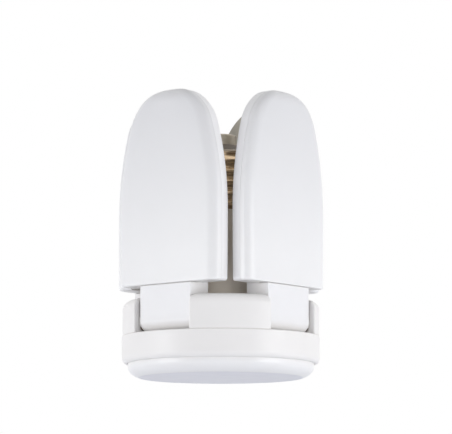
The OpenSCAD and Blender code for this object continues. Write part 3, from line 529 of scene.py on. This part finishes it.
NODE_MATERIALS = {
    "neck_screws": steel,
    "hinge_retainer": white_housing,
    "retainer_screws": steel,
    "centre_heat_plate": aluminium,
    "centre_led_board": led_board,
    "centre_leds": led,
    "centre_board_screws": steel,
    "driver_board": circuit_board,
    "smoothing_capacitor": can_sleeve,
    "line_capacitor": component_yellow,
    "line_choke": copper_winding,
    "bridge_rectifier": component_black,
    "fuse_resistor": component_tan,
    "driver_chip": component_black,
    "live_lead": lead_red,
    "neutral_lead": lead_black,
    "centre_lead": lead_red,
    "pivot_leads": lead_white,
}
BLADE_NODE_MATERIALS = {
    "led_board": led_board,
    "leds": led,
    "board_screws": steel,
    "washers": washer_metal,
    "lead": lead_white,
}


def dress_nodes():
    """Gives the CAD nodes that stay their materials."""
    chosen = dict(NODE_MATERIALS)
    for blade in BLADES:
        for part, material in BLADE_NODE_MATERIALS.items():
            chosen[f"{blade}_{part}"] = material
    for name, material in chosen.items():
        slots = frame["nodes"][name].material_slots
        for slot in slots:
            slot.material = material


def place(piece, material, body, slot, *nodes):
    """Finishes a new piece: its material, its body and the nodes that it stands for, which it
    hides. The slot is not used.
    """
    piece.data.materials.clear()
    piece.data.materials.append(material)
    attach(piece, body)
    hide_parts(*nodes)
    return piece


# ---------- blade outline ----------

def side_half(u):
    """Half width of the blade at distance u below the tip, before its ends are rounded."""
    if u < TIP_TO_WIDEST:
        return BLADE_HALF - TIP_TAPER * ((TIP_TO_WIDEST - u) / TIP_TO_WIDEST) ** 2
    return BLADE_HALF - FOOT_TAPER * ((u - TIP_TO_WIDEST) / (BLADE_LENGTH - TIP_TO_WIDEST)) ** 2


def tip_share(u):
    """Share of the width that the rounded tip leaves."""
    if u >= TIP_LENGTH:
        return 1.0
    return (1 - (1 - max(u, 0) / TIP_LENGTH) ** 2) ** (1 / TIP_POWER)


def corner_cut(v, radius):
    """How much a rounded corner takes off, at distance v before the end."""
    if v >= radius:
        return 0.0
    return radius - math.sqrt(max(0.0, radius ** 2 - (radius - v) ** 2))


def half_width(u, inset):
    """Half width of the outline drawn in by the inset, at distance u below the tip."""
    foot_r = max(FOOT_ROUND - inset, SMALLEST_FOOT_R)
    full = (side_half(u) - inset) * tip_share(u - inset)
    return full - corner_cut(BLADE_LENGTH - inset - u, foot_r)


def stations(inset, tip_steps=30, side_steps=24, foot_steps=8):
    """Distances below the tip at which the blade's outline has points."""
    foot_r = max(FOOT_ROUND - inset, SMALLEST_FOOT_R)
    tip_end = inset + TIP_LENGTH
    side_end = BLADE_LENGTH - inset - foot_r
    tip = [inset + TIP_LENGTH * (1 - math.cos(a)) for a in arc(1, 90, tip_steps)]
    side = [tip_end + (side_end - tip_end) * i / side_steps for i in range(1, side_steps)]
    foot = [side_end + foot_r * math.sin(a) for a in arc(0, 90, foot_steps)]
    return tip + side + foot


def outline(inset, depth):
    """The blade's outline drawn in by the inset, as a ring at a depth."""
    u = stations(inset)
    right = [(depth, half_width(s, inset), TIP_Z - s) for s in u]
    left = [(depth, -half_width(s, inset), TIP_Z - s) for s in reversed(u)]
    return right + left


# ---------- blade pieces ----------

def lens_section(u, inset):
    """The lens's section at u, from its right rim over the face to its left rim."""
    corner_steps = 12
    face_steps = 7
    w = half_width(u, inset)
    nose = max(1 - max(u - inset, 0) / NOSE_LENGTH, 0)
    depth = (LENS_DEPTH - inset) * max(math.sqrt(1 - nose ** 2), 0.05)
    depth -= corner_cut(BLADE_LENGTH - inset - u, LENS_FOOT_EDGE)
    share = depth / LENS_DEPTH
    side = LENS_SIDE * share
    corner = min(LENS_CORNER_W - inset / 2, 0.8 * w)
    crown = LENS_CROWN * share
    edge = depth - crown
    bevel = 0 if inset else RIM_BEVEL * share
    half = [(w - bevel, 0), (w, bevel)]
    for a in arc(0, 90, corner_steps):
        half.append((w - corner + corner * math.cos(a), side + (edge - side) * math.sin(a)))
    for i in range(1, face_steps + 1):
        t = 1 - i / face_steps
        half.append(((w - corner) * t, edge + crown * (1 - t * t)))
    section = half + [(-across, d) for across, d in reversed(half[:-1])]
    return [(RIM_D + d, across, TIP_Z - u) for across, d in section]


def blade_lens():
    outer = [lens_section(u, 0) for u in stations(0)]
    inner = [lens_section(u, LENS_WALL) for u in stations(LENS_WALL)]
    count = len(outer[0])
    loops = [o + list(reversed(i)) for o, i in zip(outer, inner)]
    points, faces = skin(loops)
    faces = faces[:-2]
    ring = 2 * count
    for k in range(count - 1):
        faces.append((k, k + 1, ring - 2 - k, ring - 1 - k))
    last = (len(loops) - 1) * ring
    faces.append(tuple(range(last, last + count)))
    faces.append(tuple(range(last + count, last + ring)))
    faces.append((last, last + count - 1, last + count, last + ring - 1))
    return new_object("blade_lens", points, faces)


def arm():
    """The arm from the blade's foot down to its nose, with rounded long edges."""
    nose_steps = 27
    nose = [(PIVOT_D + ARM_NOSE_R * math.cos(a), PIVOT_Z - ARM_NOSE_R * math.sin(a), 0)
            for a in arc(0, 135, nose_steps)]
    inside_d = BACK_D + HOUSING_WALL - ARM_OVERLAP
    foot_in_z = FOOT_Z + HOUSING_WALL - ARM_OVERLAP
    front_z = FOOT_Z - ARM_FRONT_GAP
    hump_z = FOOT_Z + ARM_HUMP
    corners = [(RIM_D - ARM_OVERLAP, foot_in_z, 0), (RIM_D - ARM_OVERLAP, front_z, 0),
               (PIVOT_D + ARM_NOSE_R, front_z, ARM_FRONT_ROUND)] + nose
    corners += [(PIVOT_D - ARM_BACK, PIVOT_Z + 0.5, 1.2), (PIVOT_D - ARM_BACK, hump_z, 2.5),
                (BACK_D, hump_z + ARM_RAMP, 0), (inside_d, hump_z + ARM_RAMP, 0),
                (inside_d, foot_in_z, 0)]
    profile = rounded(corners)
    rings = [[(x, y, z) for x, z in profile] for y in (-ARM_HALF, ARM_HALF)]
    piece = new_object("arm", *skin(rings))
    work = bmesh.new()
    work.from_mesh(piece.data)
    ends = [f for f in work.faces if abs(f.normal.y) > 0.9]
    edges = {e for f in ends for e in f.edges}
    bmesh.ops.bevel(work, geom=list(edges), offset=ARM_EDGE * MM, segments=4, profile=0.5,
                    affect="EDGES", clamp_overlap=False)
    work.to_mesh(piece.data)
    work.free()
    tidy_mesh(piece)
    return piece


def blade_housing():
    rim = RIM_BEVEL
    fillet = [(BACK_FILLET * (1 - math.cos(a)), BACK_D + BACK_FILLET * (1 - math.sin(a)))
              for a in arc(0, 90, 6)]
    steps = [(HOUSING_WALL, BACK_D + HOUSING_WALL), (HOUSING_WALL, RIM_D), (rim, RIM_D)]
    steps += [(0, RIM_D - rim)] + fillet
    tray = new_object("tray", *skin([outline(inset, depth) for inset, depth in steps]))
    boolean(tray, arm(), "UNION")
    trunnions = rod("trunnions", TRUNNION_R, -TRUNNION_END, TRUNNION_END, TRUNNION_EDGE,
                    lambda x, y, z: (PIVOT_D + y, x, PIVOT_Z + z))
    boolean(tray, trunnions, "UNION")
    for across, up in BOARD_SCREWS:
        boss = rod("boss", BOSS_R, BACK_D - BOSS_H, BACK_D + HOUSING_WALL / 2, BOSS_EDGE,
                   lambda x, y, z: (x, across + y, up + z))
        boolean(tray, boss, "UNION")
    return tray


def blades():
    lens = blade_lens()
    housing = blade_housing()
    for blade, angle in BLADES.items():
        body = f"{blade}_blade"
        cover = turned_copy(f"{blade}_lens_cover", lens, angle)
        smooth(cover)
        place(cover, frosted_lens, body, "frosted_lens", f"{blade}_lens")
        back = turned_copy(f"{blade}_back_housing", housing, angle)
        smooth(back)
        place(back, milky_housing, body, "milky_housing", f"{blade}_housing")
    for pattern in (lens, housing):
        bpy.data.objects.remove(pattern)


# ---------- base pieces ----------

def wedge(offset, radius, edge):
    """Plan of a post at angle 0: between two planes at 45 degrees and a round outer wall."""
    steps = 16
    reach = math.sqrt(radius ** 2 - offset ** 2)
    half_angle = 45 - math.degrees(math.atan2(offset, reach))
    wall = [(radius * math.cos(a), radius * math.sin(a), 0)
            for a in arc(half_angle, -half_angle, steps)]
    wall[0] = (*wall[0][:2], edge)
    wall[-1] = (*wall[-1][:2], edge)
    return rounded([(offset * math.sqrt(2), 0, 0)] + wall, steps=6)


def post():
    """A hinge post with rounded upright edges and a rounded top."""
    top_steps = 12
    levels = [(POST_FOOT_EDGE, 0), (0, POST_FOOT_EDGE)]
    rings = [[(x, y, BASE_Z + rise) for x, y in wedge(SLOT_HALF + back, POST_R - back, POST_EDGE)]
             for back, rise in levels]
    for a in arc(0, 88, top_steps):
        z = POST_TOP_Z - POST_ROUND * (1 - math.sin(a))
        radius = POST_R - POST_ROUND * (1 - math.cos(a))
        into_edge = max(0.0, z - (POST_TOP_Z - POST_TOP_EDGE))
        back = POST_TOP_EDGE - math.sqrt(POST_TOP_EDGE ** 2 - into_edge ** 2)
        rings.append([(x, y, z) for x, y in wedge(SLOT_HALF + back, radius, POST_EDGE)])
    piece = new_object("post", *skin(rings))
    hollow = [[(x, y, z) for x, y in wedge(CHEEK_OUT, POST_IN_R, POST_HOLLOW_EDGE)]
              for z in (BASE_Z - CUT, POST_TOP_Z - POST_ROOF)]
    boolean(piece, new_object("hollow", *skin(hollow)), "DIFFERENCE")
    for side in (-1, 1):
        boolean(piece, keyhole(side), "DIFFERENCE")
    return piece


def keyhole(side):
    """The seat of a trunnion in the post's cheek, open to the underside."""
    steps = 24
    profile = [(PIVOT_D + HOLE_R * math.cos(a), PIVOT_Z + HOLE_R * math.sin(a))
               for a in arc(0, 180, steps)]
    profile += [(PIVOT_D - HOLE_R, BASE_Z - CUT), (PIVOT_D + HOLE_R, BASE_Z - CUT)]
    turn = Matrix.Rotation(math.radians(-45 * side), 3, "Z")
    rings = []
    for across in (SLOT_HALF - CUT / 2, CHEEK_OUT + CUT / 2):
        rings.append([turn @ Vector((d, side * across, z)) for d, z in profile])
    return new_object("keyhole", *skin(rings))


def hinge_carrier():
    hub = lathe("hinge_carrier_housing", rounded([
        (HUB_IN_R, POST_TOP_Z, 0.3), (HUB_R, POST_TOP_Z, 0.4), (HUB_R, BASE_Z, 0),
        (FLANGE_IN_R, BASE_Z, 0.2), (FLANGE_IN_R, NECK_BOTTOM_Z, 0.2),
        (HUB_IN_R, NECK_BOTTOM_Z, 0)]))
    pattern = post()
    for angle in POSTS:
        boolean(hub, turned_copy("post", pattern, angle), "UNION")
    bpy.data.objects.remove(pattern)
    smooth(hub)
    return place(hub, white_housing, "base", "white_housing", "hinge_carrier")


def bezel_ring():
    in_r = RING_R - RING_WALL
    lip_z = RING_LOW[2]
    edge = [(RING_R - RING_ROUND_W * (1 - math.cos(a)), lip_z + RING_ROUND_H * (1 - math.sin(a)), 0)
            for a in arc(0, 88, 12)]
    ring = lathe("bezel_ring_trim", rounded([
        (in_r, BASE_Z, 0.15), (RING_R, BASE_Z, 0.4), *edge, (in_r - RING_LIP_W, lip_z, 0.1),
        (in_r - RING_LIP_W, lip_z + RING_LIP_H, 0.1), (in_r, lip_z + RING_LIP_H, 0),
        (in_r, PLATE_Z - RING_RIB_H, 0), (in_r - RING_RIB_W, PLATE_Z - RING_RIB_H, 0.15),
        (in_r - RING_RIB_W, PLATE_Z, 0.15), (in_r, PLATE_Z, 0)]), segments=192)
    smooth(ring)
    return place(ring, white_housing, "base", "white_housing", "bezel_ring")


def centre_lens():
    low = CENTRE_LENS_LOW[2] + CENTRE_LENS_CROWN
    wall = LENS_WALL
    top = CENTRE_LENS_HIGH[2]
    rim_r = CENTRE_LENS_HIGH[0]
    rim_z = RING_LOW[2] + RING_LIP_H + SEAT
    body_r = CENTRE_LENS_BODY_R
    bend_r = body_r - CENTRE_CORNER_W
    deepest = math.sin(math.radians(CENTRE_CORNER_END))

    def corner(inset, start, end, steps):
        """The wall's lower corner. It ends in a slight edge, where the flat underside begins."""
        across, down = CENTRE_CORNER_W - inset, (CENTRE_CORNER_H - inset) / deepest
        return [(bend_r + across * math.cos(a), CENTRE_BEND_Z - down * math.sin(a))
                for a in arc(start, end, steps)]

    outer = corner(0, 0, CENTRE_CORNER_END, 18)
    inner = corner(wall, CENTRE_CORNER_END, 0, 12)
    bevel = 0.1
    profile = [(body_r - wall, top), (rim_r - bevel, top), (rim_r, top - bevel), (rim_r, rim_z),
               (body_r, rim_z)]
    profile += outer + [(0, low - CENTRE_LENS_CROWN), (0, low - CENTRE_LENS_CROWN + wall)] + inner
    cover = lathe("centre_lens_cover", profile, segments=192)
    smooth(cover)
    return place(cover, lower_lens, "base", "frosted_lens", "centre_lens")


# ---------- neck and cap ----------

def neck_housing():
    spigot_r = CAP_ROOT_R - SHELL_WALL - SEAT
    spigot_in_r = spigot_r - NECK_WALL
    in_r = NECK_R - NECK_WALL
    flare_z = SHELL_BOTTOM_Z - NECK_FLARE_H
    neck = lathe("neck_cover", rounded([
        (spigot_in_r, NECK_HIGH[2], 0.2), (spigot_r, NECK_HIGH[2], 0.4),
        (spigot_r, SHELL_BOTTOM_Z, 0), (NECK_SHOULDER_R, SHELL_BOTTOM_Z, 0.5),
        (NECK_SHOULDER_R, SHELL_BOTTOM_Z - NECK_SHOULDER_H, 1.5), (NECK_R, flare_z, 4),
        (NECK_R, NECK_BOTTOM_Z, 0.2), (in_r, NECK_BOTTOM_Z, 0.2), (in_r, flare_z, 3),
        (spigot_in_r, SHELL_BOTTOM_Z - NECK_INNER_DROP, 1)]))
    smooth(neck)
    return place(neck, neck_painted_warm_bounce, "base", "white_housing", "neck_housing")


def thread_radius(turn, z):
    """Radius of the shell at an angle and a height: a rolled thread that fades at both ends."""
    thread_top = SHELL_TOP_Z - SHELL_SHOULDER_H
    phase = turn - 2 * math.pi * z / THREAD_PITCH
    fade = min(1, (thread_top - z) / THREAD_FADE, (z - SHELL_BOTTOM_Z) / THREAD_FADE)
    return CAP_ROOT_R + (CAP_CREST_R - CAP_ROOT_R) * fade * (1 - math.cos(phase)) / 2


def screw_shell():
    sides = 128
    rows = 96
    turns = [2 * math.pi * k / sides for k in range(sides)]
    thread_top = SHELL_TOP_Z - SHELL_SHOULDER_H
    in_r = CAP_ROOT_R - SHELL_WALL
    shoulder_r = CAP_ROOT_R - SHELL_SHOULDER_IN

    def ring(radius, z):
        return [(radius * math.cos(a), radius * math.sin(a), z) for a in turns]

    rings = []
    for i in range(rows + 1):
        z = SHELL_BOTTOM_Z + (thread_top - SHELL_BOTTOM_Z) * i / rows
        rings.append([(thread_radius(a, z) * math.cos(a), thread_radius(a, z) * math.sin(a), z)
                      for a in turns])
    for a in arc(0, 90, 8)[1:]:
        rings.append(ring(shoulder_r + SHELL_SHOULDER_IN * math.cos(a),
                          thread_top + SHELL_SHOULDER_H * math.sin(a)))
    bevel = 0.15
    under_z = SHELL_TOP_Z - SHELL_WALL
    for radius, z in ((SHELL_MOUTH_R + bevel, SHELL_TOP_Z), (SHELL_MOUTH_R, SHELL_TOP_Z - bevel),
                      (SHELL_MOUTH_R, under_z), (shoulder_r, under_z),
                      (in_r, thread_top - SHELL_WALL), (in_r, SHELL_BOTTOM_Z)):
        rings.append(ring(radius, z))
    shell = new_object("threaded_shell", *skin(rings, loop=True))
    smooth(shell, 60)
    return place(shell, shell_metal, "base", "shell_metal", "screw_shell")


def cap_insulator():
    cone_rim_r = CONTACT_R + CONE_RIM_W
    cone_foot_r = SHELL_MOUTH_R - SEAT
    flange_r = CAP_ROOT_R - SHELL_WALL - SHELL_SHOULDER_IN - SEAT
    under_z = SHELL_TOP_Z - SHELL_WALL
    wall = 1.2
    roof_z = INSULATOR_Z - 1.3 * wall
    cone = lathe("insulator_cone", rounded([
        (STEM_R, INSULATOR_Z, 0), (cone_rim_r, INSULATOR_Z, 0.4), (cone_foot_r, SHELL_TOP_Z, 0),
        (cone_foot_r, under_z, 0), (flange_r, under_z, 0), (flange_r, under_z - wall, 0.2),
        (cone_foot_r - wall, under_z - wall, 0), (CONTACT_R, roof_z, 0), (STEM_R, roof_z, 0)]))
    smooth(cone)
    return place(cone, insulator, "base", "insulator", "cap_insulator")


def centre_contact():
    stem_z = CONTACT_LOW[2]
    button = lathe("end_contact", rounded([
        (0, 0, 0), (CONTACT_R, 0, 0.5), (CONTACT_R, INSULATOR_Z, 0), (STEM_R, INSULATOR_Z, 0),
        (STEM_R, stem_z, 0.2), (0, stem_z, 0)]), segments=96)
    smooth(button)
    return place(button, contact_metal, "base", "contact_metal", "centre_contact")


# ---------- floor, world, lights and camera ----------

SOFTBOX_DISTANCE = 1.1
SOFTBOX_WIDTH = 0.5
SOFTBOX_HEIGHT = 1.0
SOFTBOX_ELEVATION = -20
CAMERA_DISTANCE = 0.878
CAMERA_AZIMUTH = -5.7
CAMERA_Z = -0.1442
AIM_Z = -0.0269
AIM_RIGHT = 0.00166
FOCAL_PIXELS = 2704
PHOTO_WIDTH = 452
FLOOR_Z = -0.34


def camera():
    data = bpy.data.cameras.new("camera")
    view = bpy.data.objects.new("camera", data)
    turn = math.radians(CAMERA_AZIMUTH)
    view.location = (CAMERA_DISTANCE * math.sin(turn), -CAMERA_DISTANCE * math.cos(turn), CAMERA_Z)
    aim = Vector((AIM_RIGHT * math.cos(turn), AIM_RIGHT * math.sin(turn), AIM_Z))
    view.rotation_euler = (aim - view.location).to_track_quat("-Z", "Y").to_euler()
    data.sensor_width = 36
    data.lens = FOCAL_PIXELS * data.sensor_width / PHOTO_WIDTH
    data.clip_start = 0.01
    bpy.context.scene.collection.objects.link(view)
    bpy.context.scene.camera = view


def seen_share(tree, *rays):
    """1 for the given kinds of ray of Light Path, else 0."""
    path = tree.nodes.new("ShaderNodeLightPath")
    share = path.outputs[rays[0]]
    for ray in rays[1:]:
        both = tree.nodes.new("ShaderNodeMath")
        both.operation = "MAXIMUM"
        link(tree, share, both.inputs[0])
        link(tree, path.outputs[ray], both.inputs[1])
        share = both.outputs[0]
    return share


def world(strength):
    """Even light on the lamp, and plain white where the camera, gloss and glass see the world."""
    sky = bpy.data.worlds.new("world")
    bpy.context.scene.world = sky
    tree = nodes_of(sky)
    output = tree.nodes.new("ShaderNodeOutputWorld")
    light = add(tree, "ShaderNodeBackground", Color=(1, 1, 1, 1), Strength=strength)
    white = add(tree, "ShaderNodeBackground", Color=(1, 1, 1, 1), Strength=1.0)
    mix = tree.nodes.new("ShaderNodeMixShader")
    share = seen_share(tree, "Is Camera Ray", "Is Glossy Ray", "Is Transmission Ray")
    link(tree, share, mix.inputs[0])
    link(tree, light.outputs[0], mix.inputs[1])
    link(tree, white.outputs[0], mix.inputs[2])
    link(tree, mix.outputs[0], output.inputs["Surface"])


def floor():
    """A pale floor that keeps the lamp's shadow and has a glow for what sees it."""
    size = 3000
    z = FLOOR_Z / MM
    corners = [(-size, -size, z), (size, -size, z), (size, size, z), (-size, size, z)]
    piece = new_object("floor", corners, [(0, 1, 2, 3)])
    material = bpy.data.materials.new("floor")
    tree = nodes_of(material)
    output = tree.nodes.new("ShaderNodeOutputMaterial")
    matt = add(tree, "ShaderNodeBsdfPrincipled", Base_Color=(0.84, 0.855, 0.915, 1), Roughness=0.9)
    glow = add(tree, "ShaderNodeEmission", Color=(1, 1, 1, 1), Strength=0.45)
    both = tree.nodes.new("ShaderNodeAddShader")
    mix = tree.nodes.new("ShaderNodeMixShader")
    link(tree, matt.outputs[0], both.inputs[0])
    link(tree, glow.outputs[0], both.inputs[1])
    share = seen_share(tree, "Is Camera Ray", "Is Glossy Ray", "Is Transmission Ray")
    link(tree, share, mix.inputs[0])
    link(tree, matt.outputs[0], mix.inputs[1])
    link(tree, both.outputs[0], mix.inputs[2])
    link(tree, mix.outputs[0], output.inputs["Surface"])
    piece.data.materials.append(material)


def softbox(name, azimuth, power):
    """A soft area light that faces the lamp. Azimuth is measured from the camera, to its right."""
    data = bpy.data.lights.new(name, "AREA")
    data.shape = "RECTANGLE"
    data.size = SOFTBOX_WIDTH
    data.size_y = SOFTBOX_HEIGHT
    data.energy = power
    lamp = bpy.data.objects.new(name, data)
    turn = math.radians(CAMERA_AZIMUTH + azimuth)
    rise = math.radians(SOFTBOX_ELEVATION)
    centre = Vector((0, 0, AIM_Z))
    lamp.location = centre + SOFTBOX_DISTANCE * Vector((
        math.sin(turn) * math.cos(rise), -math.cos(turn) * math.cos(rise), math.sin(rise)))
    lamp.rotation_euler = (centre - lamp.location).to_track_quat("-Z", "Y").to_euler()
    bpy.context.scene.collection.objects.link(lamp)


def lights():
    world(0.5)
    softbox("left_softbox", -66, 11.6)
    softbox("right_softbox", 62, 13.2)


camera()
lights()
floor()
dress_nodes()
blades()
hinge_carrier()
bezel_ring()
centre_lens()
neck_housing()
screw_shell()
cap_insulator()
centre_contact()

bpy.context.scene.view_settings.view_transform = "Standard"
